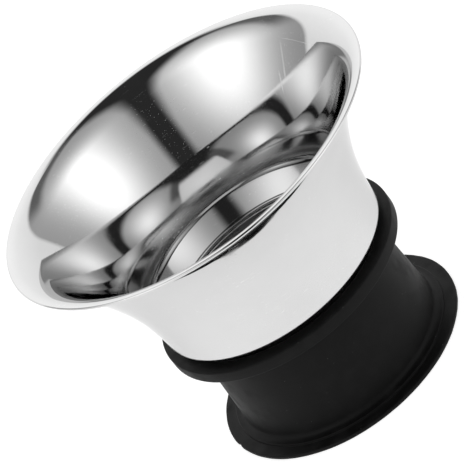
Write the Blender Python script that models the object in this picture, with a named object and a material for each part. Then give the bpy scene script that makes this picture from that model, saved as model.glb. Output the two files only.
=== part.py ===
"""Pour collar for a carafe or decanter neck: a flared steel bell in a soft sleeve, with a
self-closing flap in its throat.

Every length is in metres.  +Z is up, the origin is at the centre of the bottom face, and the
flap's hinge is on the -Y side.  Round pieces are outlines of (radius, height) turned about Z.
"""

from math import asin, atan2, cos, degrees, pi, radians, sin

import bmesh
import bpy
from mathutils import Matrix

# Driving dimensions -----------------------------------------------------------------------

CLEARANCE = 0.0003          # gap between two pieces that touch on the real object
STEEL = 0.0006              # sheet thickness of the bell
TURN_STEPS = 72             # facets round a turned piece

# bell: its inner side is a parabola that ends in two arcs, the lip
RIM_RADIUS = 0.03735
RIM_HEIGHT = 0.0544
WALL_FOOT_HEIGHT = 0.02535
WALL_FOOT_RADIUS = 0.0227   # inner side, where the wall leaves the foot's corner
WALL_LEAN = 0.0008          # straight part of the wall's growth over WALL_SPAN
WALL_FLARE = 0.01122        # square-law part of it
WALL_SPAN = 0.02905
LIP_RADIUS = 0.0100
LIP_EDGE_RADIUS = 0.0045
LIP_LEANS = (35.3, 60.0, 88.0)   # degrees from upright: start, change of radius, rim
WALL_POINTS = 15
LIP_POINTS = 5
FOOT_CORNER = 0.0012        # outer corner radius at the foot
FOOT_INNER_RADIUS = 0.0213

# throat cone: a ring that leaves the bell's wall in a fillet and runs down to a rolled bead
CONE_TOP = 0.0300
CONE_FOOT = 0.02495
CONE_FILLET = 0.0036
CONE_FILLET_LEAN = 34.0     # degrees from upright, where the fillet ends
CONE_CURVE = 0.0400         # the rest of the cone's side
CONE_SHEET = 0.0006
CONE_EDGE = 0.00015
BEAD_SECTION = 0.00035

# neck tube: a shallow cup for the flap and its hinge, on a plain tube
TUBE_WALL = 0.0006
CUP_TOP = 0.0242
CUP_INNER = 0.0197
LEDGE_HEIGHT = 0.0222       # the cup's floor
TUBE_INNER = 0.0164
TUBE_BOTTOM = 0.0015

# sleeve
SLEEVE_TOP = 0.0231
SLEEVE_RING_RADIUS = 0.02465
SLEEVE_RING_BOTTOM = 0.02065
SLEEVE_BODY_TOP_RADIUS = 0.0200
SLEEVE_BODY_FOOT_RADIUS = 0.0209
FIN_RADIUS = 0.0250
FIN_THICKNESS = 0.0008
STEP_RADIUS = 0.0226
STEP_HEIGHT = 0.0004
FOOT_FILLET = 0.0009
EDGE_ROUND = 0.0003

# flap
FLAP_RADIUS = 0.0172
FLAP_THICKNESS = 0.0005
SEAT_OUTER = 0.0173
SEAT_INNER = 0.0162
SEAT_THICKNESS = 0.0004
STRAP_THICKNESS = 0.00035
STRAP_HALF_WIDTH = 0.0025
STRAP_END_Y = -0.0118
HINGE_Y = -0.01835
KNUCKLE_INNER = 0.00043
KNUCKLE_OUTER = KNUCKLE_INNER + STRAP_THICKNESS
HEEL_LENGTH = 0.00125       # from the pin's centre: its tip meets the cup's rim at the limit
HEEL_HALF_ANGLE = 9.0
PIN_RADIUS = 0.00035        # 0.08 mm of running clearance in the knuckle
PIN_HALF_LENGTH = 0.00435
PIN_FIT = 0.00005           # the pin in its ears and washers
EAR_THICKNESS = 0.0007
EAR_RADIUS = 0.00075
RETAINER_RADIUS = 0.0007
RETAINER_THICKNESS = 0.0004
RIVET_X = 0.0014
RIVET_Y = -0.0140
RIVET_SHANK = 0.0005
RIVET_HEAD_RADIUS = 0.0010
RIVET_HEAD_HEIGHT = 0.00040
DRILL_THROUGH = 0.03        # length of a cutter, more than it has to go through
SIDES = (("left", -1), ("right", 1))

# Sizes that follow from them ----------------------------------------------------------------

TUBE_OUTER = TUBE_INNER + TUBE_WALL
CUP_OUTER = CUP_INNER + TUBE_WALL
BORE = TUBE_OUTER + CLEARANCE
BORE_CUP = CUP_OUTER + CLEARANCE
BELL_BOTTOM = WALL_FOOT_HEIGHT - FOOT_CORNER
SEAT_BOTTOM = LEDGE_HEIGHT + CLEARANCE
SEAT_TOP = SEAT_BOTTOM + SEAT_THICKNESS
FLAP_BOTTOM = SEAT_TOP + CLEARANCE
FLAP_TOP = FLAP_BOTTOM + FLAP_THICKNESS
STRAP_BOTTOM = FLAP_TOP + CLEARANCE
STRAP_TOP = STRAP_BOTTOM + STRAP_THICKNESS
HINGE_Z = STRAP_TOP - KNUCKLE_OUTER


# Materials ----------------------------------------------------------------------------------

def make_material(name, colour, metallic, roughness):
    material = bpy.data.materials.new(name)
    material.use_nodes = True
    shader = material.node_tree.nodes["Principled BSDF"]
    shader.inputs["Base Color"].default_value = (*colour, 1.0)
    shader.inputs["Metallic"].default_value = metallic
    shader.inputs["Roughness"].default_value = roughness
    material.diffuse_color = (*colour, 1.0)
    return material


# Outlines -----------------------------------------------------------------------------------

def arc(centre, radius, start, end, points):
    """Points on an arc, in degrees from the first axis of the outline."""
    angles = [radians(start + (end - start) * i / (points - 1)) for i in range(points)]
    return [(centre[0] + radius * cos(a), centre[1] + radius * sin(a)) for a in angles]


def offset(points, distance):
    """A line of points moved sideways: to the right of its own direction."""
    moved = []
    for i, (radius, height) in enumerate(points):
        before = points[max(i - 1, 0)]
        after = points[min(i + 1, len(points) - 1)]
        run = (after[0] - before[0], after[1] - before[1])
        length = (run[0] ** 2 + run[1] ** 2) ** 0.5
        moved.append((radius + distance * run[1] / length, height - distance * run[0] / length))
    return moved


def wall_radius(height):
    share = (height - WALL_FOOT_HEIGHT) / WALL_SPAN
    return WALL_FOOT_RADIUS + WALL_LEAN * share + WALL_FLARE * share ** 2


def lip_points():
    """The lip's two arcs on the inner side, from the parabola's end to the rim."""
    start, change, end = (radians(a) for a in LIP_LEANS)
    edge = [change + (end - change) * i / LIP_POINTS for i in range(LIP_POINTS + 1)]
    body = [start + (change - start) * i / LIP_POINTS for i in range(LIP_POINTS)]
    points = [
        (RIM_RADIUS - LIP_EDGE_RADIUS * (cos(a) - cos(end)), RIM_HEIGHT - LIP_EDGE_RADIUS * (sin(end) - sin(a)))
        for a in edge
    ]
    joint = points[0]
    return [
        (joint[0] - LIP_RADIUS * (cos(a) - cos(change)), joint[1] - LIP_RADIUS * (sin(change) - sin(a)))
        for a in body
    ] + points


def bell_inner_side():
    """From the foot up: the parabola, then the lip."""
    lip = lip_points()
    rise = lip[0][1] - WALL_FOOT_HEIGHT
    heights = [WALL_FOOT_HEIGHT + rise * i / WALL_POINTS for i in range(WALL_POINTS)]
    return [(wall_radius(z), z) for z in heights] + lip


def bell_outline():
    """Outer side from the rim down, the turned-in foot, and the inner side back up."""
    inner = bell_inner_side()
    outer = offset(inner, STEEL)
    outer[-1] = (RIM_RADIUS, outer[-1][1])
    corner = (outer[0][0] - FOOT_CORNER, WALL_FOOT_HEIGHT)
    outline = outer[:0:-1]
    outline += arc(corner, FOOT_CORNER, 0, -90, 6)
    outline += [(FOOT_INNER_RADIUS, BELL_BOTTOM), (FOOT_INNER_RADIUS, BELL_BOTTOM + STEEL)]
    outline += arc(corner, FOOT_CORNER - STEEL, -90, 0, 4)
    outline += inner[1:]
    return outline


def cone_side():
    """The cone's visible side from the bell's wall down: the fillet, then a flatter curve."""
    top_share = (CONE_TOP - WALL_FOOT_HEIGHT) / WALL_SPAN
    start = degrees(atan2(WALL_LEAN + 2 * WALL_FLARE * top_share, WALL_SPAN))
    lean = radians(start)
    centre = (wall_radius(CONE_TOP) - CONE_FILLET * cos(lean), CONE_TOP + CONE_FILLET * sin(lean))
    fillet = arc(centre, CONE_FILLET, -start, -CONE_FILLET_LEAN, 9)
    lean = radians(CONE_FILLET_LEAN)
    joint = fillet[-1]
    centre = (joint[0] - CONE_CURVE * cos(lean), joint[1] + CONE_CURVE * sin(lean))
    end = degrees(asin((centre[1] - CONE_FOOT) / CONE_CURVE))
    return fillet + arc(centre, CONE_CURVE, -CONE_FILLET_LEAN, -end, 7)[1:]


def cone_outline():
    """The cone's side, clear of the bell's wall, with a rolled bead at its foot."""
    side = [(r, z) for r, z in cone_side() if r < wall_radius(z) - CLEARANCE - CONE_EDGE]
    back = offset(side[::-1], CONE_SHEET)[::-1]
    back[0] = (back[0][0], side[0][1])
    back = [(min(r, wall_radius(z) - CLEARANCE), z) for r, z in back]
    bead = arc((side[-1][0] - 0.0001, side[-1][1]), BEAD_SECTION, -40, -230, 8)
    return back[:-1] + bead + side[-2::-1]


def tube_outline():
    """Inner side of the cup down, then the outer side, the tube's foot, and back up."""
    return [
        (CUP_INNER, CUP_TOP),
        (CUP_OUTER, CUP_TOP),
        (CUP_OUTER, LEDGE_HEIGHT - TUBE_WALL),
        (TUBE_OUTER, LEDGE_HEIGHT - TUBE_WALL),
        (TUBE_OUTER, TUBE_BOTTOM),
        (TUBE_INNER, TUBE_BOTTOM),
        (TUBE_INNER, LEDGE_HEIGHT),
        (CUP_INNER, LEDGE_HEIGHT),
    ]


def sleeve_outline():
    step_top = FIN_THICKNESS + STEP_HEIGHT
    fillet = (SLEEVE_BODY_FOOT_RADIUS + FOOT_FILLET, step_top + FOOT_FILLET)
    ring_corner = SLEEVE_RING_RADIUS - EDGE_ROUND
    cup_seat = LEDGE_HEIGHT - TUBE_WALL - CLEARANCE
    chamfer = SLEEVE_TOP - cup_seat - 0.0008
    return [
        (BORE_CUP + chamfer, SLEEVE_TOP),
        *arc((ring_corner, SLEEVE_TOP - EDGE_ROUND), EDGE_ROUND, 90, 0, 3),
        *arc((ring_corner, SLEEVE_RING_BOTTOM + EDGE_ROUND), EDGE_ROUND, 0, -90, 3),
        (SLEEVE_BODY_TOP_RADIUS, SLEEVE_RING_BOTTOM),
        *arc(fillet, FOOT_FILLET, 180, 270, 4),
        (STEP_RADIUS, step_top),
        (STEP_RADIUS + STEP_HEIGHT, FIN_THICKNESS),
        *arc((FIN_RADIUS - EDGE_ROUND, FIN_THICKNESS - EDGE_ROUND), EDGE_ROUND, 90, 0, 3),
        (FIN_RADIUS, 0.0),
        (BORE, 0.0),
        (BORE, cup_seat),
        (BORE_CUP, cup_seat),
        (BORE_CUP, SLEEVE_TOP - chamfer),
    ]


def ring_outline(inner, outer, bottom, top):
    return [(inner, top), (outer, top), (outer, bottom), (inner, bottom)]


def strap_outline():
    """Side view of the strap in (y, z): flat on the flap, then curled down round the pin."""
    pin = (HINGE_Y, HINGE_Z)
    heel = arc(pin, HEEL_LENGTH, 90 - HEEL_HALF_ANGLE, 90 + HEEL_HALF_ANGLE, 2)
    return [
        (STRAP_END_Y, STRAP_TOP),
        (HINGE_Y + KNUCKLE_OUTER, STRAP_TOP),
        *heel,
        *arc(pin, KNUCKLE_OUTER, 90 + 2 * HEEL_HALF_ANGLE, 380, 13),
        *arc(pin, KNUCKLE_INNER, 380, 110, 17),
        (HINGE_Y, STRAP_BOTTOM),
        (STRAP_END_Y, STRAP_BOTTOM),
    ]


def ear_outline():
    """Side view of an ear in (y, z): a round head at the pin on a leg from the cup's floor."""
    foot = LEDGE_HEIGHT + CLEARANCE
    head = arc((HINGE_Y, HINGE_Z), EAR_RADIUS, 0, 180, 13)
    return [(HINGE_Y + EAR_RADIUS, foot), *head, (HINGE_Y - EAR_RADIUS, foot)]


# Solids -------------------------------------------------------------------------------------

def add_object(name, mesh, material, origin=(0.0, 0.0, 0.0)):
    """Put a mesh made in world coordinates into the scene with its origin where it turns."""
    mesh.transform(Matrix.Translation([-c for c in origin]))
    mesh.materials.append(material)
    mesh.shade_smooth()
    mesh.set_sharp_from_angle(angle=radians(35))
    piece = bpy.data.objects.new(name, mesh)
    piece.location = origin
    bpy.context.scene.collection.objects.link(piece)
    return piece


def turned(name, outline, material, closed=True):
    """A Screw modifier turns an (r, z) outline about Z.  An open outline ends on the axis."""
    mesh = bpy.data.meshes.new(name)
    last = len(outline) if closed else len(outline) - 1
    edges = [(i, (i + 1) % len(outline)) for i in range(last)]
    mesh.from_pydata([(r, 0.0, z) for r, z in outline], edges, [])
    piece = bpy.data.objects.new(name, mesh)
    mesh.materials.append(material)
    bpy.context.scene.collection.objects.link(piece)
    screw = piece.modifiers.new("turn", "SCREW")
    screw.axis = "Z"
    screw.angle = 2 * pi
    screw.steps = TURN_STEPS
    screw.render_steps = TURN_STEPS
    screw.use_merge_vertices = True
    screw.merge_threshold = 0.00001
    screw.use_smooth_shade = True
    return piece


def extruded_along_x(name, outline, x_from, x_to, material, origin):
    """A (y, z) outline given a width along X."""
    form = bmesh.new()
    start = [form.verts.new((x_from, y, z)) for y, z in outline]
    face = form.faces.new(start)
    result = bmesh.ops.extrude_face_region(form, geom=[face])
    moved = [v for v in result["geom"] if isinstance(v, bmesh.types.BMVert)]
    bmesh.ops.translate(form, verts=moved, vec=(x_to - x_from, 0.0, 0.0))
    bmesh.ops.recalc_face_normals(form, faces=form.faces)
    mesh = bpy.data.meshes.new(name)
    form.to_mesh(mesh)
    form.free()
    return add_object(name, mesh, material, origin)


def cylinder_mesh(name, radius, length, centre, axis, segments=24):
    """A closed cylinder along X or Z."""
    turn = Matrix.Rotation(pi / 2, 4, "Y") if axis == "X" else Matrix.Identity(4)
    form = bmesh.new()
    bmesh.ops.create_cone(
        form, cap_ends=True, segments=segments, radius1=radius, radius2=radius,
        depth=length, matrix=Matrix.Translation(centre) @ turn,
    )
    mesh = bpy.data.meshes.new(name)
    form.to_mesh(mesh)
    form.free()
    return mesh


def joined_mesh(name, meshes):
    """Several separate closed shapes in one mesh."""
    form = bmesh.new()
    for mesh in meshes:
        form.from_mesh(mesh)
    joined = bpy.data.meshes.new(name)
    form.to_mesh(joined)
    form.free()
    for mesh in meshes:
        bpy.data.meshes.remove(mesh)
    return joined


def drill(piece, name, radius, length, centres, axis):
    """Cut round holes with one hidden cutter."""
    cylinders = [cylinder_mesh(name, radius, length, c, axis) for c in centres]
    cutter = bpy.data.objects.new(name, joined_mesh(name, cylinders))
    bpy.context.scene.collection.objects.link(cutter)
    cutter.hide_render = True
    cutter.display_type = "WIRE"
    cut = piece.modifiers.new("drill", "BOOLEAN")
    cut.operation = "DIFFERENCE"
    cut.solver = "EXACT"
    cut.object = cutter


def rivet_mesh(name, x):
    """A turned rivet: a head under the flap, a shank, and a head over the strap."""
    low = FLAP_BOTTOM - CLEARANCE
    high = STRAP_TOP + CLEARANCE
    outline = [
        (0.0, high + RIVET_HEAD_HEIGHT),
        (RIVET_HEAD_RADIUS * 0.7, high + RIVET_HEAD_HEIGHT * 0.85),
        (RIVET_HEAD_RADIUS, high),
        (RIVET_SHANK, high),
        (RIVET_SHANK, low),
        (RIVET_HEAD_RADIUS, low),
        (RIVET_HEAD_RADIUS * 0.7, low - RIVET_HEAD_HEIGHT * 0.85),
        (0.0, low - RIVET_HEAD_HEIGHT),
    ]
    form = bmesh.new()
    profile = [form.verts.new((r, 0.0, z)) for r, z in outline]
    edges = [form.edges.new(pair) for pair in zip(profile, profile[1:])]
    bmesh.ops.spin(
        form, geom=profile + edges, cent=(0.0, 0.0, 0.0), axis=(0.0, 0.0, 1.0),
        angle=2 * pi, steps=20, use_merge=True,
    )
    bmesh.ops.remove_doubles(form, verts=form.verts, dist=0.000001)
    bmesh.ops.recalc_face_normals(form, faces=form.faces)
    bmesh.ops.translate(form, verts=form.verts, vec=(x, RIVET_Y, 0.0))
    mesh = bpy.data.meshes.new(name)
    form.to_mesh(mesh)
    form.free()
    return mesh


# The object ---------------------------------------------------------------------------------

def build_shells(steel, silicone):
    turned("funnel_bell", bell_outline(), steel)
    turned("throat_cone", cone_outline(), steel)
    turned("neck_tube", tube_outline(), steel)
    turned("silicone_sleeve", sleeve_outline(), silicone)
    turned("flap_seat_ring", ring_outline(SEAT_INNER, SEAT_OUTER, SEAT_BOTTOM, SEAT_TOP), silicone)


def build_flap(hinge, steel, plain_steel):
    rivet_holes = [(side * RIVET_X, RIVET_Y, FLAP_TOP) for side in (-1, 1)]
    hole_radius = RIVET_SHANK + CLEARANCE

    disc_mesh = cylinder_mesh(
        "flap_disc", FLAP_RADIUS, FLAP_THICKNESS, (0.0, 0.0, FLAP_BOTTOM + FLAP_THICKNESS / 2), "Z",
        segments=TURN_STEPS,
    )
    disc = add_object("flap_disc", disc_mesh, steel, hinge)
    drill(disc, "flap_disc_holes", hole_radius, DRILL_THROUGH, rivet_holes, "Z")

    strap = extruded_along_x(
        "flap_hinge_strap", strap_outline(), -STRAP_HALF_WIDTH, STRAP_HALF_WIDTH, plain_steel, hinge,
    )
    drill(strap, "flap_hinge_strap_holes", hole_radius, DRILL_THROUGH, rivet_holes, "Z")

    for name, side in SIDES:
        add_object("strap_rivet_" + name, rivet_mesh("strap_rivet", side * RIVET_X), plain_steel, hinge)


def build_hinge(hinge, plain_steel):
    pin_mesh = cylinder_mesh("hinge_pin", PIN_RADIUS, 2 * PIN_HALF_LENGTH, hinge, "X")
    add_object("hinge_pin", pin_mesh, plain_steel, hinge)

    ear_inner_x = STRAP_HALF_WIDTH + CLEARANCE
    ear_outer_x = ear_inner_x + EAR_THICKNESS
    washer_x = ear_outer_x + CLEARANCE + RETAINER_THICKNESS / 2
    for name, side in SIDES:
        ear = extruded_along_x(
            "hinge_ear_" + name, ear_outline(), side * ear_inner_x, side * ear_outer_x,
            plain_steel, hinge,
        )
        drill(ear, ear.name + "_hole", PIN_RADIUS + PIN_FIT, DRILL_THROUGH, [hinge], "X")
        centre = (side * washer_x, hinge[1], hinge[2])
        washer_mesh = cylinder_mesh("pin_retainer", RETAINER_RADIUS, RETAINER_THICKNESS, centre, "X")
        washer = add_object("pin_retainer_" + name, washer_mesh, plain_steel, hinge)
        drill(washer, washer.name + "_hole", PIN_RADIUS + PIN_FIT, DRILL_THROUGH, [hinge], "X")


def main():
    for old in list(bpy.data.objects):
        bpy.data.objects.remove(old, do_unlink=True)

    polished_steel = make_material("polished_steel", (0.80, 0.80, 0.80), 1.0, 0.06)
    plain_steel = make_material("plain_steel", (0.62, 0.62, 0.63), 1.0, 0.30)
    silicone = make_material("black_silicone", (0.014, 0.014, 0.015), 0.0, 0.62)

    hinge = (0.0, HINGE_Y, HINGE_Z)
    build_shells(polished_steel, silicone)
    build_flap(hinge, polished_steel, plain_steel)
    build_hinge(hinge, plain_steel)


main()
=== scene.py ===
"""The looks of the pour collar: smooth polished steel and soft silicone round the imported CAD."""
from math import asin, atan2, cos, degrees, hypot, pi, radians, sin

import bmesh
import bpy
from mathutils import Matrix, Vector, noise


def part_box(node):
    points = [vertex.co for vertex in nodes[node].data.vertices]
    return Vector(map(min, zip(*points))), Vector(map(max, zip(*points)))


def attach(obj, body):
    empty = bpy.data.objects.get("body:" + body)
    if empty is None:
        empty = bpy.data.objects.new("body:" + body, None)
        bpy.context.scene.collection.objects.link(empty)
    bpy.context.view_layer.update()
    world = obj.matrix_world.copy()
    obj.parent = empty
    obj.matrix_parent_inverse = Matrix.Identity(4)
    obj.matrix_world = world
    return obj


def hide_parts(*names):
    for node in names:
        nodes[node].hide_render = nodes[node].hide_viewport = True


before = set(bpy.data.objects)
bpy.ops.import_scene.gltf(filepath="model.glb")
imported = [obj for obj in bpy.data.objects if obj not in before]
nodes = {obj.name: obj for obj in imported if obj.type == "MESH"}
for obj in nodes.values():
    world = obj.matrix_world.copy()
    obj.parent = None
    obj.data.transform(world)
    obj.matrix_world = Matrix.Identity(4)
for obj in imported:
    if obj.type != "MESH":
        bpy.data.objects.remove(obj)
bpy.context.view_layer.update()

scene = bpy.context.scene
MM = 0.001

# Shape of the round pieces, in mm ------------------------------------------------------------

ROUND_STEPS = 288
SHARP_ANGLE = 40
SHEET = 0.6
RIM_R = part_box("funnel_bell")[1].x / MM
RIM_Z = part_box("funnel_bell")[1].z / MM
WALL_FOOT_Z, WALL_FOOT_R = 25.35, 22.7
WALL_LEAN, WALL_FLARE, WALL_SPAN = 0.8, 11.22, 29.05
LIP_WIDE, LIP_TIGHT = 10.0, 4.5
LIP_START, LIP_JOINT, LIP_END = 35.3, 60.0, 88.0
RIM_LEAN = 84.0                 # where the inner side goes over into the rounded edge
FOOT_CORNER = 1.2
FOOT_INNER_R = 21.3

CONE_TOP_Z, CONE_FOOT_Z = 30.0, 24.95
CONE_FILLET, CONE_FILLET_LEAN, CONE_CURVE = 3.6, 34.0, 40.0
BEAD_INSET, BEAD_SECTION, BEAD_START, BEAD_END = 0.1, 0.35, -40, -305
BEAD_CLEAR = 0.02               # the cone stops this far from the bead
BACK_CUT = 0.3                  # the cone's back stops this far below the bead's middle

TUBE_WALL, TUBE_INNER, TUBE_BOTTOM = 0.6, 16.4, 1.5
CUP_TOP, CUP_INNER, LEDGE_Z, TUBE_EDGE = 24.2, 19.7, 22.2, 0.25

FLAP_R, FLAP_BOTTOM, FLAP_TOP, FLAP_EDGE = 17.2, 23.2, 23.7, 0.18
SEAT_INNER, SEAT_OUTER, SEAT_BOTTOM, SEAT_TOP, SEAT_EDGE = 16.2, 17.3, 22.5, 22.9, 0.15

SLEEVE_TOP, SLEEVE_RING_R, SLEEVE_RING_BOTTOM = 23.1, 24.65, 20.65
BODY_TOP_R, BODY_FOOT_R = 20.0, 20.9
FIN_R, FIN_THICK, STEP_R, STEP_TOP, FOOT_FILLET = 25.0, 0.8, 22.6, 1.2, 0.9
SLEEVE_BORE, SLEEVE_CUP_BORE, SLEEVE_CUP_Z, SLEEVE_CHAMFER = 17.3, 20.6, 21.3, 1.0
SLEEVE_EDGE, SLEEVE_STEP = 0.3, 1.0     # edge rounding, and the longest step along the outline


def arc(cx, cz, radius, start, end, points):
    """Points on an arc of the outline, angles in degrees from outwards."""
    steps = [radians(start + (end - start) * i / (points - 1)) for i in range(points)]
    return [(cx + radius * cos(a), cz + radius * sin(a)) for a in steps]


def offset(points, distance):
    """The line moved to the right of its own direction."""
    moved = []
    for i, (r, z) in enumerate(points):
        before, after = points[max(i - 1, 0)], points[min(i + 1, len(points) - 1)]
        dr, dz = after[0] - before[0], after[1] - before[1]
        length = hypot(dr, dz)
        moved.append((r + distance * dz / length, z - distance * dr / length))
    return moved


def split(start, end, parts):
    """Points from start up to, but without, end."""
    return [(start[0] + (end[0] - start[0]) * i / parts, start[1] + (end[1] - start[1]) * i / parts)
            for i in range(parts)]


def rounded(corners, radius, points=5):
    """A closed outline with each of its corners rounded."""
    line = []
    count = len(corners)
    for i, corner in enumerate(corners):
        here = Vector(corner)
        to_last = Vector(corners[i - 1]) - here
        to_next = Vector(corners[(i + 1) % count]) - here
        reach = min(radius, to_last.length * 0.45, to_next.length * 0.45)
        a, b = here + to_last.normalized() * reach, here + to_next.normalized() * reach
        for k in range(points):
            t = k / (points - 1)
            line.append(tuple(a * (1 - t) ** 2 + here * 2 * t * (1 - t) + b * t * t))
    return line


def lathe(name, outline, material, closed=True, wobble=None):
    """Turn an (r, z) outline in mm about Z into a smooth mesh. Points on the axis become one."""
    verts, rings = [], []
    for r, z in outline:
        if r < 1e-6:
            verts.append((0.0, 0.0, z * MM))
            rings.append([len(verts) - 1] * ROUND_STEPS)
            continue
        ring = []
        for k in range(ROUND_STEPS):
            a = 2 * pi * k / ROUND_STEPS
            rr, zz = wobble(r, z, a) if wobble else (r, z)
            verts.append((rr * cos(a) * MM, rr * sin(a) * MM, zz * MM))
            ring.append(len(verts) - 1)
        rings.append(ring)
    faces = []
    pairs = list(zip(rings, rings[1:]))
    if closed:
        pairs.append((rings[-1], rings[0]))
    for low, high in pairs:
        for k in range(ROUND_STEPS):
            n = (k + 1) % ROUND_STEPS
            quad = [low[k], low[n], high[n], high[k]]
            face = [v for i, v in enumerate(quad) if v not in quad[:i]]
            if len(face) > 2:
                faces.append(face)
    mesh = bpy.data.meshes.new(name)
    mesh.from_pydata(verts, [], faces)
    mesh.validate()
    form = bmesh.new()
    form.from_mesh(mesh)
    bmesh.ops.recalc_face_normals(form, faces=form.faces)
    form.to_mesh(mesh)
    form.free()
    mesh.shade_smooth()
    mesh.set_sharp_from_angle(angle=radians(SHARP_ANGLE))
    mesh.materials.append(material)
    piece = bpy.data.objects.new(name, mesh)
    scene.collection.objects.link(piece)
    return piece


def wall_radius(z):
    s = (z - WALL_FOOT_Z) / WALL_SPAN
    return WALL_FOOT_R + WALL_LEAN * s + WALL_FLARE * s * s


def lip_point(lean):
    """The inner side of the lip, where it leans that many degrees from upright."""
    a, joint, end = radians(lean), radians(LIP_JOINT), radians(LIP_END)
    if lean >= LIP_JOINT:
        return (RIM_R - LIP_TIGHT * (cos(a) - cos(end)), RIM_Z - LIP_TIGHT * (sin(end) - sin(a)))
    joint_r, joint_z = lip_point(LIP_JOINT)
    return (joint_r - LIP_WIDE * (cos(a) - cos(joint)), joint_z - LIP_WIDE * (sin(joint) - sin(a)))


def bell_outline():
    lip_foot_z = lip_point(LIP_START)[1]
    wall = [WALL_FOOT_Z + (lip_foot_z - WALL_FOOT_Z) * i / 90 for i in range(90)]
    inner = [(wall_radius(z), z) for z in wall]
    inner += [lip_point(LIP_START + (RIM_LEAN - LIP_START) * i / 60) for i in range(61)]
    outer = offset(inner, SHEET)
    half = SHEET / 2
    middle = offset(inner, half)[-1]
    rim = arc(*middle, half, 180 - RIM_LEAN, -RIM_LEAN, 17)
    corner = (WALL_FOOT_R + SHEET - FOOT_CORNER, WALL_FOOT_Z)
    foot_z = WALL_FOOT_Z - FOOT_CORNER
    line = inner[1:-1] + rim + outer[-2:0:-1]
    line += arc(*corner, FOOT_CORNER, 0, -90, 14)
    line += [(FOOT_INNER_R, foot_z), (FOOT_INNER_R, foot_z + SHEET)]
    line += arc(*corner, FOOT_CORNER - SHEET, -90, 0, 10)
    return line


def cone_outline():
    """The cone runs out of the bell's wall without a step, and ends in a rolled bead."""
    share = (CONE_TOP_Z - WALL_FOOT_Z) / WALL_SPAN
    start = degrees(atan2(WALL_LEAN + 2 * WALL_FLARE * share, WALL_SPAN))
    a = radians(start)
    side = arc(wall_radius(CONE_TOP_Z) - CONE_FILLET * cos(a), CONE_TOP_Z + CONE_FILLET * sin(a),
               CONE_FILLET, -start, -CONE_FILLET_LEAN, 40)
    a = radians(CONE_FILLET_LEAN)
    cx, cz = side[-1][0] - CONE_CURVE * cos(a), side[-1][1] + CONE_CURVE * sin(a)
    end = degrees(asin((cz - CONE_FOOT_Z) / CONE_CURVE))
    side += arc(cx, cz, CONE_CURVE, -CONE_FILLET_LEAN, -end, 40)[1:]
    back = [(min(r, wall_radius(z)), z) for r, z in offset(side[::-1], SHEET)[::-1]]
    foot_r, foot_z = side[-1]
    bead = arc(foot_r - BEAD_INSET, foot_z, BEAD_SECTION, BEAD_START, BEAD_END, 30)
    reach = BEAD_SECTION + BEAD_CLEAR
    side = [p for p in side if hypot(p[0] - foot_r + BEAD_INSET, p[1] - foot_z) > reach]
    return [p for p in back[1:] if p[1] > foot_z - BACK_CUT] + bead + side[::-1]


def tube_outline():
    outer, cup_outer, under = TUBE_INNER + TUBE_WALL, CUP_INNER + TUBE_WALL, LEDGE_Z - TUBE_WALL
    return rounded([
        (CUP_INNER, CUP_TOP), (cup_outer, CUP_TOP), (cup_outer, under), (outer, under), (outer, TUBE_BOTTOM),
        (TUBE_INNER, TUBE_BOTTOM), (TUBE_INNER, LEDGE_Z), (CUP_INNER, LEDGE_Z),
    ], TUBE_EDGE)


def sleeve_outline():
    side = [
        (SLEEVE_RING_R, SLEEVE_TOP), (SLEEVE_RING_R, SLEEVE_RING_BOTTOM), (BODY_TOP_R, SLEEVE_RING_BOTTOM),
        (BODY_FOOT_R, STEP_TOP + FOOT_FILLET),
    ]
    foot = [
        (STEP_R, STEP_TOP), (STEP_R, FIN_THICK), (FIN_R, FIN_THICK), (FIN_R, 0.0), (SLEEVE_BORE, 0.0),
        (SLEEVE_BORE, SLEEVE_CUP_Z), (SLEEVE_CUP_BORE, SLEEVE_CUP_Z),
        (SLEEVE_CUP_BORE, SLEEVE_TOP - SLEEVE_CHAMFER), (SLEEVE_CUP_BORE + SLEEVE_CHAMFER, SLEEVE_TOP),
    ]
    fillet = arc(BODY_FOOT_R + FOOT_FILLET, STEP_TOP + FOOT_FILLET, FOOT_FILLET, 190, 270, 3)
    soft = rounded(side[:-1] + fillet + foot, SLEEVE_EDGE)
    line = []
    for i, point in enumerate(soft):
        after = soft[(i + 1) % len(soft)]
        length = hypot(after[0] - point[0], after[1] - point[1])
        line += split(point, after, max(1, round(length / SLEEVE_STEP)))
    return line


NICK_ANGLE, NICK_HALF_WIDTH, NICK_DEPTH = pi + 0.12, 0.022, 0.22    # a torn spot at the fin's left end
FIN_OVAL, FIN_RAGGED, FIN_UNEVEN, BODY_DENT = 0.10, 0.035, 0.10, 0.03   # mm, but the third is a share


def sleeve_wobble(r, z, a):
    """Soft moulding: the fin's edge isn't quite round or level, and the body has slow dents."""
    around = Vector((cos(a), sin(a), 0.0))
    outer = max(0.0, min(1.0, (r - STEP_R) / (FIN_R - STEP_R)))
    if z < STEP_TOP and outer:
        r += FIN_OVAL * outer * noise.noise(around * 2.2 + Vector((3.1, 0, 0)))
        r += FIN_RAGGED * outer * noise.noise(around * 14.0)
        z *= 1 + FIN_UNEVEN * outer * noise.noise(around * 9.0 + Vector((0, 5.2, 0)))
        turn = (a - NICK_ANGLE) / NICK_HALF_WIDTH
        r -= NICK_DEPTH * outer ** 2 / (1 + turn ** 4)
    elif r > SLEEVE_BORE + 1.0 and z < SLEEVE_TOP - 0.5:
        r += BODY_DENT * noise.noise(around * 3.0 + Vector((0, 0, z * 0.12)))
    return r, z


# Materials -----------------------------------------------------------------------------------


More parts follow.
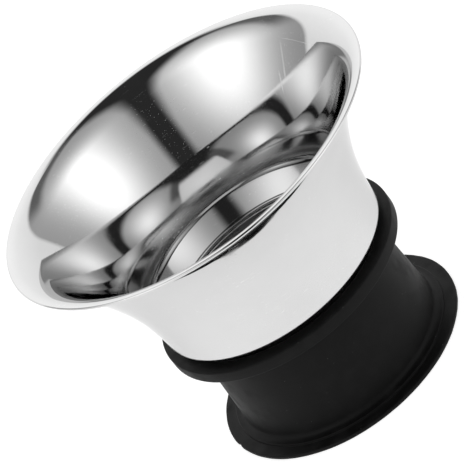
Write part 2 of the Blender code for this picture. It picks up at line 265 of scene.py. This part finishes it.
class Graph:
    """Short ways to lay out shader arithmetic."""

    def __init__(self, tree):
        self.tree = tree

    def node(self, kind, **inputs):
        made = self.tree.nodes.new(kind)
        for key, value in inputs.items():
            self.set(made.inputs[key], value)
        return made

    def set(self, socket, value):
        if isinstance(value, bpy.types.NodeSocket):
            self.tree.links.new(value, socket)
        else:
            socket.default_value = value

    def math(self, operation, *values):
        made = self.tree.nodes.new("ShaderNodeMath")
        made.operation = operation
        for socket, value in zip(made.inputs, values):
            self.set(socket, value)
        return made.outputs[0]

    def smooth(self, value, low, high, start=0.0, end=1.0):
        """start below low, end above high, smooth between."""
        made = self.tree.nodes.new("ShaderNodeMapRange")
        made.interpolation_type = "SMOOTHSTEP"
        keys = ("Value", "From Min", "From Max", "To Min", "To Max")
        for key, v in zip(keys, (value, low, high, start, end)):
            self.set(made.inputs[key], v)
        return made.outputs[0]

    def millimetres(self, turn=(0, 0, 0), scale=(1, 1, 1)):
        """Object coordinates in mm, turned and stretched."""
        coords = self.node("ShaderNodeTexCoord").outputs["Object"]
        mapping = self.node("ShaderNodeMapping", Vector=coords)
        mapping.vector_type = "POINT"
        mapping.inputs["Rotation"].default_value = turn
        mapping.inputs["Scale"].default_value = [s / MM for s in scale]
        return mapping.outputs[0]

    def noise(self, vector, scale, detail=2.0):
        made = self.node("ShaderNodeTexNoise", Vector=vector, Scale=scale, Detail=detail)
        return made.outputs[0]

    def specks(self, vector, scale, share, size):
        """Small round dots in that share of the cells: 1 in a dot, 0 between."""
        cells = self.node("ShaderNodeTexVoronoi", Vector=vector, Scale=scale)
        pick = self.node("ShaderNodeSeparateColor", Color=cells.outputs["Color"])
        chosen = self.math("LESS_THAN", pick.outputs[0], share)
        radius = self.math("MULTIPLY_ADD", pick.outputs[1], size * 0.7, size * 0.3)
        dot = self.math("LESS_THAN", cells.outputs["Distance"], radius)
        return self.math("MULTIPLY", chosen, dot)

    def hair_scratch(self, x, y, z, middle_x, middle_z, degrees_up, length, width):
        """One thin straight scratch on the far side, drawn in the XZ plane."""
        a = radians(degrees_up)
        dx, dz = self.math("SUBTRACT", x, middle_x), self.math("SUBTRACT", z, middle_z)
        along = self.math("ADD", self.math("MULTIPLY", dx, cos(a)), self.math("MULTIPLY", dz, sin(a)))
        off = self.math("SUBTRACT", self.math("MULTIPLY", dz, cos(a)), self.math("MULTIPLY", dx, sin(a)))
        line = self.smooth(self.math("ABSOLUTE", off), width * 0.3, width, 1.0, 0.0)
        ends = self.smooth(self.math("ABSOLUTE", along), length * 0.25, length * 0.5, 1.0, 0.0)
        return self.math("MULTIPLY", self.math("MULTIPLY", line, ends), self.smooth(y, 2.0, 5.0))

    def streaks(self, turn, along, across, level):
        """Thin straight lines in one direction, broken up into stretches."""
        lines = self.noise(self.millimetres(turn, (along, across, across)), 1.0, 1.0)
        where = self.noise(self.millimetres(turn), 0.09, 1.0)
        thin = self.smooth(lines, level, level + 0.03)
        return self.math("MULTIPLY", thin, self.smooth(where, 0.52, 0.64))


def material(name, colour, metallic, roughness):
    mat = bpy.data.materials.new(name)
    mat.use_nodes = True
    shader = mat.node_tree.nodes["Principled BSDF"]
    shader.inputs["Base Color"].default_value = (*colour, 1)
    shader.inputs["Metallic"].default_value = metallic
    shader.inputs["Roughness"].default_value = roughness
    return mat, shader, Graph(mat.node_tree)


POLISH_WAVE_MM, BRUSH_DEPTH_MM, MOULD_GRAIN_MM = 0.0018, 0.004, 0.012
EDGE_TINT = 0.82                # steel seen at a glancing angle
DULL_BELOW_Z = (31.0, 35.0)     # mm: the polish fades out down here, in the throat
DUST_PATCH = (0.0, 28.0, 45.0)  # mm: dust that the last wipe left on the back of the bell
# the scratches: middle x and z, degrees up from level, length and width, in mm
HAIR_SCRATCHES = ((25.1, 47.4, 60, 8.0, 0.14), (28.8, 50.5, -14, 3.6, 0.12), (22.5, 44.0, 64, 5.0, 0.10))


def grey(g, value):
    mix = g.node("ShaderNodeCombineColor", Red=value, Green=value, Blue=value)
    return mix.outputs[0]


def bump(g, shader, height, depth_mm):
    made = g.node("ShaderNodeBump", Height=height, Strength=1.0, Distance=depth_mm * MM)
    g.tree.links.new(made.outputs[0], shader.inputs["Normal"])


def polished_steel(name, base, roughness, haze, deep_haze=0.0, used=False):
    """Mirror steel: slow polish waves, faint streaks, haze and dust. A used one has scratches too."""
    mat, shader, g = material(name, (base, base, base), 1.0, roughness)
    shader.inputs["Specular Tint"].default_value = (EDGE_TINT, EDGE_TINT, EDGE_TINT, 1)
    cloud = g.noise(g.millimetres(), 0.16, 4.0)
    scratch = g.math("MAXIMUM", g.streaks((0.5, 0.35, 0.8), 0.05, 4.2, 0.70),
                     g.streaks((1.1, -0.6, -0.35), 0.07, 5.0, 0.71))
    dust = g.specks(g.millimetres(), 2.2, 0.12, 0.12)
    dust = g.math("MULTIPLY", dust, g.smooth(g.noise(g.millimetres(), 0.11, 1.0), 0.48, 0.60))
    x, y, z = g.node("ShaderNodeSeparateXYZ", Vector=g.millimetres()).outputs
    if used:
        for mark in HAIR_SCRATCHES:
            scratch = g.math("MAXIMUM", scratch, g.hair_scratch(x, y, z, *mark))
        away = g.node("ShaderNodeVectorMath", Vector=g.millimetres())
        away.operation = "DISTANCE"
        away.inputs[1].default_value = DUST_PATCH
        near = g.smooth(away.outputs["Value"], 5.0, 12.0, 1.0, 0.0)
        grit = g.math("MULTIPLY", g.specks(g.millimetres(), 3.2, 0.42, 0.26), near)
        dust = g.math("MAXIMUM", dust, g.math("MULTIPLY", grit, 0.6))
    rough = g.math("MULTIPLY_ADD", g.smooth(cloud, 0.45, 0.7), haze, roughness)
    deep = g.smooth(z, *DULL_BELOW_Z, 1.0, 0.0)
    rough = g.math("MULTIPLY_ADD", deep, deep_haze, rough)
    rough = g.math("MULTIPLY_ADD", scratch, 0.16, rough)
    rough = g.math("MULTIPLY_ADD", dust, 0.45, rough)
    g.set(shader.inputs["Roughness"], rough)
    tone = g.math("MULTIPLY_ADD", cloud, 0.04, base - 0.02)
    tone = g.math("MULTIPLY_ADD", scratch, 0.12, tone)
    g.set(shader.inputs["Base Color"], grey(g, tone))
    wave = g.noise(g.millimetres(), 0.55, 2.0)
    height = g.math("MULTIPLY_ADD", scratch, -0.4, wave)
    bump(g, shader, height, POLISH_WAVE_MM)
    return mat


def satin_steel(name, turned):
    """Drawn or turned steel with a fine grain: round the axis on turned pieces, else along Y."""
    mat, shader, g = material(name, (0.56, 0.56, 0.57), 1.0, 0.28)
    stretch = (0.4, 0.4, 14.0) if turned else (16.0, 0.5, 16.0)
    grain = g.noise(g.millimetres(scale=stretch), 1.0, 3.0)
    cloud = g.noise(g.millimetres(), 0.3, 3.0)
    rough = g.math("MULTIPLY_ADD", grain, 0.16, 0.16)
    g.set(shader.inputs["Roughness"], g.math("MULTIPLY_ADD", cloud, 0.10, rough))
    g.set(shader.inputs["Base Color"], grey(g, g.math("MULTIPLY_ADD", grain, 0.10, 0.50)))
    bump(g, shader, grain, BRUSH_DEPTH_MM)
    return mat


def black_silicone(name):
    """Matt moulded silicone: fine grain, uneven dull bloom, and the dust that it always holds."""
    mat, shader, g = material(name, (0.006, 0.006, 0.006), 0.0, 0.6)
    shader.inputs["Specular IOR Level"].default_value = 0.12
    bloom = g.smooth(g.noise(g.millimetres(), 0.35, 5.0), 0.42, 0.75)
    dust = g.specks(g.millimetres(), 1.3, 0.07, 0.13)
    lint = g.streaks((0.2, 0.9, 0.4), 0.8, 9.0, 0.78)
    marks = g.math("MAXIMUM", dust, lint)
    tone = g.math("MULTIPLY_ADD", bloom, 0.004, 0.0036)
    g.set(shader.inputs["Base Color"], grey(g, g.math("MULTIPLY_ADD", marks, 0.06, tone)))
    g.set(shader.inputs["Roughness"], g.math("MULTIPLY_ADD", bloom, 0.14, 0.52))
    grain = g.noise(g.millimetres(), 5.0, 3.0)
    bump(g, shader, grain, MOULD_GRAIN_MM)
    return mat


bell_steel = polished_steel("bell_steel", 0.66, 0.035, 0.05, 0.10, used=True)
cone_steel = polished_steel("cone_steel", 0.42, 0.06, 0.06)
flap_steel = polished_steel("flap_steel", 0.56, 0.07, 0.05)
turned_steel = satin_steel("turned_steel", True)
drawn_steel = satin_steel("drawn_steel", False)
rubber = black_silicone("silicone")

# Pieces --------------------------------------------------------------------------------------


def band(inner, outer, bottom, top, edge):
    """The outline of a flat ring with rounded edges."""
    return rounded([(inner, bottom), (outer, bottom), (outer, top), (inner, top)], edge)


# the disc's rim is a band's outer edge, joined to the axis
flap_rim = band(FLAP_R * 0.5, FLAP_R, FLAP_BOTTOM, FLAP_TOP, FLAP_EDGE)[3:-3]
flap_outline = [(0.0, FLAP_BOTTOM)] + flap_rim + [(0.0, FLAP_TOP)]
seat_outline = band(SEAT_INNER, SEAT_OUTER, SEAT_BOTTOM, SEAT_TOP, SEAT_EDGE)

TURNED = (
    ("bell_polished", "funnel_bell", bell_outline(), bell_steel, "insert", "polished_steel", None),
    ("cone_polished", "throat_cone", cone_outline(), cone_steel, "insert", "polished_steel", None),
    ("tube_turned", "neck_tube", tube_outline(), turned_steel, "insert", "plain_steel", None),
    ("seat_moulded", "flap_seat_ring", seat_outline, rubber, "insert", "black_silicone", None),
    ("sleeve_moulded", "silicone_sleeve", sleeve_outline(), rubber, "sleeve", "black_silicone",
     sleeve_wobble),
    ("flap_polished", "flap_disc", flap_outline, flap_steel, "flap", "polished_steel", None),
)
for name, node, outline, mat, body, slot, wobble in TURNED:
    piece = lathe(name, outline, mat, closed=node != "flap_disc", wobble=wobble)
    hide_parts(node)
    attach(piece, body)

replaced = {row[1] for row in TURNED}
for node, obj in nodes.items():
    if node not in replaced:
        obj.data.materials.clear()
        obj.data.materials.append(drawn_steel)

# Light, floor and camera ---------------------------------------------------------------------

FLOOR_GLOW = 1.2                # brightness of the white below the horizon
FLOOR_EMISSION = 0.74
FLOOR_HALF, FLOOR_DROP = 3.0, 0.00002   # metres: half its side, and how far below z = 0 it lies

# softboxes: azimuth (0 is the camera's side, minus is left), zenith angle and width in degrees,
# strength at the centre, and the even light of the tent round it
LEFT_BOX = (-66, 52, 28, 1.46, 0.35)
RIGHT_BOX = (61, 62, 24, 1.42, 0.42)
BACK_SHEET = (180, 60, 50, 0.5, 0.8)
DARK = 0.03                     # what still comes from the dark gaps


def lobe(g, x, y, z, azimuth, zenith, width, strength, even):
    """A soft round light: strength at its centre, fading with the angle from it to even."""
    a, t = radians(azimuth), radians(zenith)
    centre = (sin(t) * sin(a), -sin(t) * cos(a), cos(t))
    dot = g.math("ADD", g.math("ADD", g.math("MULTIPLY", x, centre[0]), g.math("MULTIPLY", y, centre[1])),
                 g.math("MULTIPLY", z, centre[2]))
    # exp(-(angle / width)^2) with angle^2 = 2 (1 - cos), close enough for soft lights
    fall = g.math("MULTIPLY", g.math("SUBTRACT", dot, 1.0), 2.0 / radians(width) ** 2)
    return g.math("ADD", g.math("MULTIPLY", g.math("EXPONENT", fall), strength), even)


def build_world():
    """A light tent: two softboxes in front, a dark slot between them, a white sheet behind."""
    world = bpy.data.worlds.new("studio")
    scene.world = world
    world.use_nodes = True
    tree = world.node_tree
    tree.nodes.clear()
    g = Graph(tree)
    coords = g.node("ShaderNodeTexCoord").outputs["Generated"]
    x, y, z = g.node("ShaderNodeSeparateXYZ", Vector=coords).outputs
    flat = g.math("SQRT", g.math("ADD", g.math("MULTIPLY", x, x), g.math("MULTIPLY", y, y)))
    flat = g.math("MAXIMUM", flat, 1e-5)
    zenith = g.math("MULTIPLY", g.math("ARCCOSINE", z), 180 / pi)
    fx = g.math("DIVIDE", g.math("MULTIPLY", zenith, x), flat)
    fy = g.math("DIVIDE", g.math("MULTIPLY", zenith, y), flat)
    azimuth = g.math("MULTIPLY", g.math("ARCTAN2", x, g.math("MULTIPLY", y, -1.0)), 180 / pi)
    is_right = g.math("GREATER_THAN", x, 0.0)

    # the two softboxes
    left, right = lobe(g, x, y, z, *LEFT_BOX), lobe(g, x, y, z, *RIGHT_BOX)
    pick = g.node("ShaderNodeMix", Factor=is_right, A=left, B=right)
    panels = pick.outputs[0]

    # the dark slot straight in front, and the dark gap overhead that it runs into
    ratio = g.math("DIVIDE", x, g.math("MAXIMUM", g.math("MULTIPLY", y, -1.0), 1e-4))
    slot = g.smooth(g.math("ABSOLUTE", g.math("ADD", ratio, 0.02)), 0.10, 0.25)
    half_width = g.smooth(fy, -20.0, 10.0, 4.5, 10.5)
    across = g.math("SUBTRACT", g.math("ABSOLUTE", g.math("ADD", fx, 1.2)), half_width)
    panels = g.math("MULTIPLY", panels, g.math("MINIMUM", slot, g.smooth(across, 0.0, 10.0)))

    # the sheet behind, with a dark gap on each side between it and the softboxes
    back = g.math("MULTIPLY", lobe(g, x, y, z, *BACK_SHEET), g.smooth(zenith, 25.0, 36.0))
    edge = g.math("MULTIPLY_ADD", is_right, -9.0, 133.0)
    edge = g.math("ADD", edge, g.math("MULTIPLY", g.math("SUBTRACT", 60.0, zenith), 0.32))
    past = g.math("SUBTRACT", g.math("ABSOLUTE", azimuth), edge)
    gap = g.math("MULTIPLY", g.smooth(past, -26.0, -12.0), g.smooth(zenith, 45.0, 60.0, 0.72, 0.0))
    panels = g.math("MULTIPLY", panels, g.math("SUBTRACT", 1.0, gap))
    back = g.math("MULTIPLY", back, g.smooth(past, -4.0, 4.0))
    light = g.math("ADD", g.math("MAXIMUM", panels, back), DARK)
    # below the horizon everything is white floor
    down = g.smooth(z, -0.05, 0.02)
    floor = g.math("MULTIPLY", g.math("SUBTRACT", 1.0, down), FLOOR_GLOW)
    light = g.math("ADD", g.math("MULTIPLY", light, down), floor)

    seen = g.node("ShaderNodeLightPath").outputs["Is Camera Ray"]
    plain = g.node("ShaderNodeBackground", Color=(1, 1, 1, 1), Strength=1.0)
    studio = g.node("ShaderNodeBackground", Color=(1, 1, 1, 1), Strength=light)
    mix = g.node("ShaderNodeMixShader")
    g.set(mix.inputs[0], seen)
    g.set(mix.inputs[1], studio.outputs[0])
    g.set(mix.inputs[2], plain.outputs[0])
    out = g.node("ShaderNodeOutputWorld")
    g.set(out.inputs["Surface"], mix.outputs[0])


def build_floor():
    corners = [(x * FLOOR_HALF, y * FLOOR_HALF, 0) for x, y in ((-1, -1), (1, -1), (1, 1), (-1, 1))]
    mesh = bpy.data.meshes.new("floor")
    mesh.from_pydata(corners, [], [(0, 1, 2, 3)])
    floor = bpy.data.objects.new("floor", mesh)
    floor.location.z = -FLOOR_DROP
    scene.collection.objects.link(floor)
    mat, shader, _ = material("floor_white", (0.55, 0.55, 0.55), 0.0, 0.9)
    shader.inputs["Specular IOR Level"].default_value = 0.0
    shader.inputs["Emission Color"].default_value = (1, 1, 1, 1)
    shader.inputs["Emission Strength"].default_value = FLOOR_EMISSION
    mesh.materials.append(mat)


LENS, SENSOR = 232.8, 36.0
ELEVATION, DISTANCE = radians(29.25), 0.5377
ROLL = radians(38.48)
AIM = Vector((-0.0015, 0.0, 0.0351))


def build_camera():
    data = bpy.data.cameras.new("camera")
    data.lens = LENS
    data.sensor_width = SENSOR
    data.clip_start = 0.01
    cam = bpy.data.objects.new("camera", data)
    scene.collection.objects.link(cam)
    forward = Vector((0, cos(ELEVATION), -sin(ELEVATION)))
    level = Vector((1, 0, 0))
    upward = level.cross(forward)
    right = level * cos(ROLL) - upward * sin(ROLL)
    up = level * sin(ROLL) + upward * cos(ROLL)
    turn = Matrix((right, up, -forward)).transposed().to_4x4()
    cam.matrix_world = Matrix.Translation(AIM - forward * DISTANCE) @ turn
    scene.camera = cam


build_world()
build_floor()
build_camera()
scene.view_settings.view_transform = "Standard"
scene.view_settings.look = "None"
